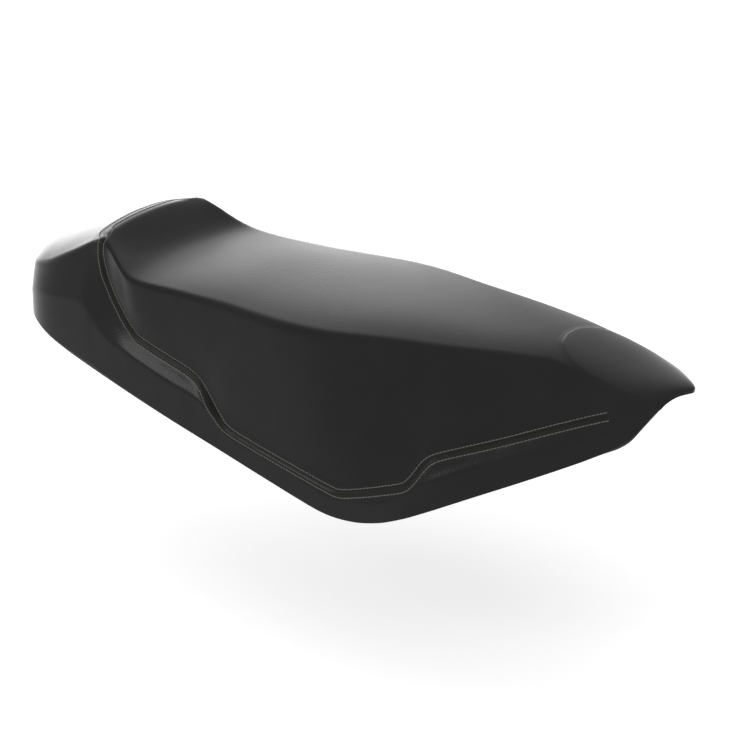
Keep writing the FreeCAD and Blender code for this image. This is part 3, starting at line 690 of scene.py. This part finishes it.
def metal(name, dark, light, rough, metallic):
    """Plated or painted steel with faint scratches and uneven polish."""
    material, tree, shader, coordinates = new_material(name)
    cloud = noise(tree, coordinates, scale=130.0, detail=4.0, roughness=0.6)
    tree.links.new(ramp(tree, cloud, [(0.3, dark), (0.7, light)]), shader.inputs["Base Color"])
    shader.inputs["Metallic"].default_value = metallic
    patch = noise(tree, coordinates, scale=420.0, detail=3.0, roughness=0.6)
    uneven = ramp(tree, patch, [(0.3, rough - 0.06), (0.7, rough + 0.08)])
    tree.links.new(uneven, shader.inputs["Roughness"])
    scratch = noise(tree, coordinates, scale=1400.0, detail=2.0, roughness=0.7)
    relief = bump(tree, scratch, strength=0.05, distance=0.0002)
    tree.links.new(relief, shader.inputs["Normal"])
    return material


black_leather = leatherette()
stitch_thread = thread()

# The cover's surface: plain cushion, nose pad, then the seam's relief along the normals
plain, section_rows, right_row, left_row, crest_column = surface_grid()
column_x = plain[:, 0, 0]
raised = plain + grid_normals(plain) * pad_height(plain)[..., None]
relief, nearness = cover_relief(raised, section_rows)
surface = raised + grid_normals(raised) * relief[..., None]
surface_normals = grid_normals(raised)
numbers = np.arange(surface.shape[0] * surface.shape[1]).reshape(surface.shape[:2])


def panel_mesh(faces):
    """Only the vertices that the faces use, with the faces renumbered."""
    used, renumbered = np.unique(faces, return_inverse=True)
    return used, renumbered.reshape(faces.shape)


# Main panel: ahead of the crest and between the two seam rows
main_numbers = numbers[crest_column:, right_row:left_row + 1]
spine_row = (right_row + left_row) // 2
main_faces = np.concatenate([
    grid_faces(main_numbers, False),
    cap_faces(numbers[-1, right_row:spine_row][::-1], numbers[-1, spine_row + 1:left_row + 1], True),
])
used, faces = panel_mesh(main_faces)
main_panel = new_piece("main_panel", surface.reshape(-1, 3)[used], faces, black_leather)
set_shares(main_panel, "seam", nearness.ravel()[used])
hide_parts("cover_main_panel")


def hem_band(rims):
    """The border's turn under the rim and its hem: rows of points for one side, from the rim inwards and up.

    Each rim point goes straight inwards on the flat underside to the pan's inner wall, which is the rim
    drawn in at the sides and shortened at the two ends, then up the wall."""
    side = np.sign(rims[len(rims) // 2, 1])
    rim_x, rim_y = rims[:, 0], np.abs(rims[:, 1])
    middle = (TAIL_X + NOSE_X) / 2
    gap = np.where(rim_x < middle, HEM_TAIL_GAP, HEM_NOSE_GAP)
    inner_x = middle + (rim_x - middle) * (1 - gap / (NOSE_X - middle))
    blunt_y = section_poles(np.clip(rim_x, TAIL_X + PAN_BLUNT, NOSE_X - PAN_BLUNT))[:, -1, 0]
    inner_y = np.maximum(blunt_y - HEM_WIDTH, HEM_NARROWEST_TURN * blunt_y)
    rows = []
    for share in HEM_TURN_SHARES:
        x = rim_x + (inner_x - rim_x) * share
        y = rim_y + (inner_y - rim_y) * share
        z = rail(RIM, x)[:, 1] - HEM_SAG * math.sin(math.pi * min(share * 2, 1.0))
        rows.append(np.stack([x, side * y, z], 1))
    full = HEM_HEIGHT * (1 - HEM_FADE_SHARE * smooth_step(inner_x, HEM_FADE_START_X, HEM_FADE_END_X))
    for share in HEM_RISE_SHARES:
        y = np.maximum(inner_y - HEM_LEAN * share * full, HEM_NARROWEST_EDGE * inner_y)
        z = rail(RIM, inner_x)[:, 1] + share * full
        rows.append(np.stack([inner_x, side * y, z], 1))
    return np.stack(rows, 1)


# Border panel: the tail, both sides below the seam, the turn under the rim and the hem
right_band = hem_band(surface[:, 0])
left_band = hem_band(surface[:, -1])
band_rows = right_band.shape[1]
first_band = numbers.size
right_numbers = first_band + np.arange(right_band.shape[0] * band_rows).reshape(-1, band_rows)
left_numbers = right_numbers + right_numbers.size
right_strip = np.concatenate([numbers[:, :1], right_numbers], 1)
left_strip = np.concatenate([numbers[:, -1:], left_numbers], 1)
tail_closing = np.stack([right_strip[0], left_strip[0]])
nose_closing = np.stack([right_strip[-1], left_strip[-1]])
border_faces = np.concatenate([
    grid_faces(numbers[:crest_column + 1], False),
    grid_faces(numbers[crest_column:, :right_row + 1], False),
    grid_faces(numbers[crest_column:, left_row:], False),
    grid_faces(right_strip, True),
    grid_faces(left_strip, False),
    grid_faces(tail_closing, False),
    grid_faces(nose_closing, True),
    cap_faces(numbers[0, :spine_row][::-1], numbers[0, spine_row + 1:], False),
    cap_faces(numbers[-1, :right_row + 1][::-1], numbers[-1, left_row:], True),
])
border_points = np.concatenate([grid.reshape(-1, 3) for grid in (surface, right_band, left_band)])
border_shares = np.concatenate([nearness.ravel(), np.zeros(2 * right_numbers.size)])
used, faces = panel_mesh(border_faces)
border_panel = new_piece("border_panel", border_points[used], faces, black_leather)
set_shares(border_panel, "seam", border_shares[used])
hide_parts("cover_border_panel")


def resampled(path, step):
    """The path with points a step apart."""
    lengths = np.concatenate([[0], np.linalg.norm(np.diff(path, axis=0), axis=1).cumsum()])
    wanted = np.arange(0, lengths[-1], step)
    return np.stack([np.interp(wanted, lengths, path[:, k]) for k in range(path.shape[1])], 1)


def on_flank(x, z):
    """Points of the cover's left flank seen at x and z from the side, and the normals there.

    In the column before each x, the first row below z gives the place between two rows."""
    column = np.clip(np.searchsorted(column_x, x) - 1, 0, len(column_x) - 2)
    found = []
    for ahead in (0, 1):
        heights = surface[column + ahead, :, 2]
        below = (heights <= z[:, None]) & (section_rows[column + ahead] > CREASE_T)
        row = below.argmax(1)
        upper = surface[column + ahead, row - 1]
        lower = surface[column + ahead, row]
        share = np.clip((upper[:, 2] - z) / np.maximum(upper[:, 2] - lower[:, 2], 1e-6), 0, 1)[:, None]
        found.append(upper + (lower - upper) * share)
    share = ((x - column_x[column]) / (column_x[column + 1] - column_x[column]))[:, None]
    return found[0] + (found[1] - found[0]) * share, surface_normals[column, row]


def stitch_row(side):
    """One stitch row from the nose's left side back along the seam and up to the middle of the crest.

    On the flank it is the seam's side view moved to one side, 1 or -1, and on top the column as far from
    the crest."""
    curve = seam_curve()[::-1]
    path = np.concatenate([curve, [(CREST_X, z) for z in np.arange(CREST_SEAM_Z + 1, STITCH_TOP_Z, 1.0)]])
    path = resampled(path[path[:, 0] < STITCH_END_X], STITCH_PATH_STEP)
    kernel = np.ones(STITCH_PATH_SMOOTHING) / STITCH_PATH_SMOOTHING
    margin = STITCH_PATH_SMOOTHING // 2
    padded = np.pad(path, ((margin, margin), (0, 0)), mode="reflect", reflect_type="odd")
    path = np.stack([np.convolve(padded[:, k], kernel, "valid") for k in range(2)], 1)
    tangent = np.gradient(path, axis=0)
    tangent /= np.linalg.norm(tangent, axis=1, keepdims=True)
    sideways = np.stack([tangent[:, 1], -tangent[:, 0]], 1)
    moved = path + side * row_offset(path[:, :1]) * sideways
    crease_height = np.interp(moved[:, 0], column_x, crease_points()[:, 2])
    moved = moved[moved[:, 1] < crease_height]
    flank, flank_normals = on_flank(moved[:, 0], moved[:, 1])
    top_x = moved[-1, 0]
    column = np.searchsorted(column_x, top_x) - 1
    share = (top_x - column_x[column]) / (column_x[column + 1] - column_x[column])
    rows = np.arange(spine_row, left_row)
    rows = rows[section_rows[column, spine_row:left_row] < CREASE_T][::-1]
    top = surface[column, rows] * (1 - share) + surface[column + 1, rows] * share
    return np.concatenate([flank, top]), np.concatenate([flank_normals, surface_normals[column, rows]])


def crease_points():
    """The points of the left crease, one for each column."""
    row = np.abs(section_rows - CREASE_T).argmin(1)
    return surface[np.arange(len(column_x)), row]


def stitch_mesh(path, normals):
    """The stitches along a path as one mesh: each a bent tube, thin and sunk at its two ends.

    A tube's point is the stitch's middle line, raised by a quartic arch, plus a ring turned round it."""
    lengths = np.concatenate([[0], np.linalg.norm(np.diff(path, axis=0), axis=1).cumsum()])
    starts = np.arange(0, lengths[-1] - STITCH_PITCH, STITCH_PITCH)

    def at(place, values):
        return np.stack([np.interp(place, lengths, values[:, k]) for k in range(3)], 1)

    first, last = at(starts, path), at(starts + STITCH_LENGTH, path)
    up = at(starts + STITCH_LENGTH / 2, normals)
    ahead = last - first
    ahead /= np.linalg.norm(ahead, axis=1, keepdims=True)
    across = np.cross(up, ahead)
    across /= np.linalg.norm(across, axis=1, keepdims=True)
    lift = np.cross(ahead, across)
    along = np.linspace(-1, 1, STITCH_RINGS)[None, :, None]
    angle = np.linspace(0, 2 * math.pi, STITCH_SIDES, endpoint=False)[None, None, :, None]
    radius = STITCH_RADIUS * np.sqrt(1 - (np.abs(along) * STITCH_TAPER) ** 4)[:, :, None]
    middle = (first + last)[:, None] / 2 + along * (last - first)[:, None] / 2
    middle = middle + (STITCH_ARCH - STITCH_SINK * along ** 4) * lift[:, None]
    ring = np.cos(angle) * across[:, None, None] + STITCH_FLATNESS * np.sin(angle) * lift[:, None, None]
    vertices = middle[:, :, None] + ring * radius
    numbering = np.arange(vertices.size // 3).reshape(vertices.shape[:3])
    closed = np.concatenate([numbering, numbering[:, :, :1]], 2)
    corners = [closed[:, :-1, :-1], closed[:, 1:, :-1], closed[:, 1:, 1:], closed[:, :-1, 1:]]
    return vertices.reshape(-1, 3), np.stack([corner.ravel() for corner in corners], 1)


# Stitching: two rows, each sewn over both sides of the seat
mirror = np.array([1.0, -1.0, 1.0])
stitch_points, stitch_faces, stitch_count = [], [], 0
for side in (-1, 1):
    half_path, half_normals = stitch_row(side)
    row_path = np.concatenate([half_path, half_path[-2::-1] * mirror])
    row_normals = np.concatenate([half_normals, half_normals[-2::-1] * mirror])
    points, faces = stitch_mesh(row_path, row_normals)
    stitch_points.append(points)
    stitch_faces.append(faces + stitch_count)
    stitch_count += len(points)
new_piece(
    "stitching", np.concatenate(stitch_points), np.concatenate(stitch_faces), stitch_thread
)

# Materials of the part's own pieces
pan_plastic = moulded(
    "pan_plastic_black", (0.020, 0.020, 0.021), (0.030, 0.030, 0.031),
    rough=0.55, grain_scale=900.0, grain_strength=0.18,
)
rubber = moulded(
    "bumper_rubber", (0.014, 0.014, 0.014), (0.024, 0.024, 0.023),
    rough=0.72, grain_scale=600.0, grain_strength=0.12,
)
foam = moulded(
    "foam_yellow", (0.58, 0.50, 0.27), (0.70, 0.62, 0.36),
    rough=0.9, grain_scale=700.0, grain_strength=0.4,
)
black_steel = metal(
    "painted_steel_black", (0.018, 0.018, 0.019), (0.030, 0.030, 0.031), rough=0.38, metallic=0.0
)
zinc = metal("zinc_plated_steel", (0.50, 0.50, 0.47), (0.66, 0.65, 0.60), rough=0.34, metallic=1.0)
slot_materials = {
    "leatherette": black_leather,
    "pan_plastic": pan_plastic,
    "rubber": rubber,
    "foam": foam,
    "black_steel": black_steel,
    "zinc_steel": zinc,
}
for row in frame["record"]["subparts"]:
    part = frame["nodes"][row["node"]]
    part.data.materials.clear()
    part.data.materials.append(slot_materials[row["material_slot"]])


def background_ray(tree):
    """1 for rays that show the background: straight to the camera, mirrored or through glass."""
    path = node(tree, "ShaderNodeLightPath")
    mirrored_too = number(tree, "MAXIMUM", path.outputs["Is Camera Ray"], path.outputs["Is Glossy Ray"])
    return number(tree, "MAXIMUM", mirrored_too, path.outputs["Is Transmission Ray"])


# Floor, lights, camera
scene = bpy.context.scene
floor_z = cad_low.z - FLOOR_DROP
floor_mesh = bpy.data.meshes.new("floor")
signs = [(-1, -1), (1, -1), (1, 1), (-1, 1)]
corners = [(x * FLOOR_SIZE, y * FLOOR_SIZE, floor_z) for x, y in signs]
floor_mesh.from_pydata(corners, [], [(0, 1, 2, 3)])
floor = bpy.data.objects.new("floor", floor_mesh)
scene.collection.objects.link(floor)
floor_material, floor_tree, floor_shader, floor_coordinates = new_material("studio_floor")
tone = noise(floor_tree, floor_coordinates, scale=1.5, detail=2.0, roughness=0.5)
floor_tree.links.new(
    ramp(floor_tree, tone, [(0.3, (0.93, 0.93, 0.93)), (0.7, (0.95, 0.95, 0.95))]),
    floor_shader.inputs["Base Color"],
)
floor_shader.inputs["Roughness"].default_value = 0.9
floor_shader.inputs["Specular IOR Level"].default_value = 0.1
floor_shader.inputs["Emission Color"].default_value = (1, 1, 1, 1)
floor_tree.links.new(
    number(floor_tree, "MULTIPLY", background_ray(floor_tree), FLOOR_GLOW),
    floor_shader.inputs["Emission Strength"],
)
floor_mesh.materials.append(floor_material)


def aimed(name, data, azimuth, elevation, distance):
    """A lamp or camera round the seat that looks at its middle.

    The azimuth is 0 in front of the right side and 90 ahead of the nose."""
    placed = bpy.data.objects.new(name, data)
    a, e = math.radians(azimuth), math.radians(elevation)
    back = Vector((math.sin(a) * math.cos(e), -math.cos(a) * math.cos(e), math.sin(e)))
    placed.location = Vector(CAMERA_TARGET) + back * distance
    placed.rotation_mode = "QUATERNION"
    placed.rotation_quaternion = back.to_track_quat("Z", "Y")
    scene.collection.objects.link(placed)
    return placed


def softbox(name, azimuth, elevation, size, power):
    """A rectangular soft light."""
    data = bpy.data.lights.new(name, "AREA")
    data.shape = "RECTANGLE"
    data.size, data.size_y = size
    data.energy = power
    return aimed(name, data, azimuth, elevation, LAMP_DISTANCE)


softbox("rear_softbox_wide", azimuth=223.8, elevation=12.5, size=(2.13, 1.74), power=7.2)
softbox("rear_softbox_middle", azimuth=225.8, elevation=9.2, size=(1.92, 1.42), power=5.3)
softbox("rear_softbox_core", azimuth=227.8, elevation=6, size=(1.72, 1.1), power=3.7)
side_softbox = softbox("side_softbox", azimuth=332, elevation=34, size=(0.75, 1.1), power=12.0)

# A flag keeps the side softbox off the main panel, and leaves it on the border's shelf below the seam
flagged = bpy.data.collections.new("flagged_from_side_softbox")
flagged.objects.link(main_panel)
flagged.collection_objects[0].light_linking.link_state = "EXCLUDE"
side_softbox.light_linking.receiver_collection = flagged

world = bpy.data.worlds.new("studio")
scene.world = world
world.use_nodes = True
tree = world.node_tree
tree.nodes.clear()
output = node(tree, "ShaderNodeOutputWorld")
seen = node(tree, "ShaderNodeBackground")
seen.inputs["Color"].default_value = (1, 1, 1, 1)
seen.inputs["Strength"].default_value = 1.0
soft = node(tree, "ShaderNodeBackground")
soft.inputs["Color"].default_value = (1, 1, 1, 1)
soft.inputs["Strength"].default_value = SKY_SOFT_STRENGTH
choice = node(tree, "ShaderNodeMixShader")
tree.links.new(background_ray(tree), choice.inputs[0])
tree.links.new(soft.outputs[0], choice.inputs[1])
tree.links.new(seen.outputs[0], choice.inputs[2])
tree.links.new(choice.outputs[0], output.inputs["Surface"])

camera_data = bpy.data.cameras.new("camera")
camera_data.sensor_width = SENSOR_WIDTH_MM
camera_data.lens = SENSOR_WIDTH_MM * CAMERA_DISTANCE / VIEW_WIDTH
scene.camera = aimed("camera", camera_data, CAMERA_AZIMUTH, CAMERA_ELEVATION, CAMERA_DISTANCE)
scene.view_settings.view_transform = "Standard"
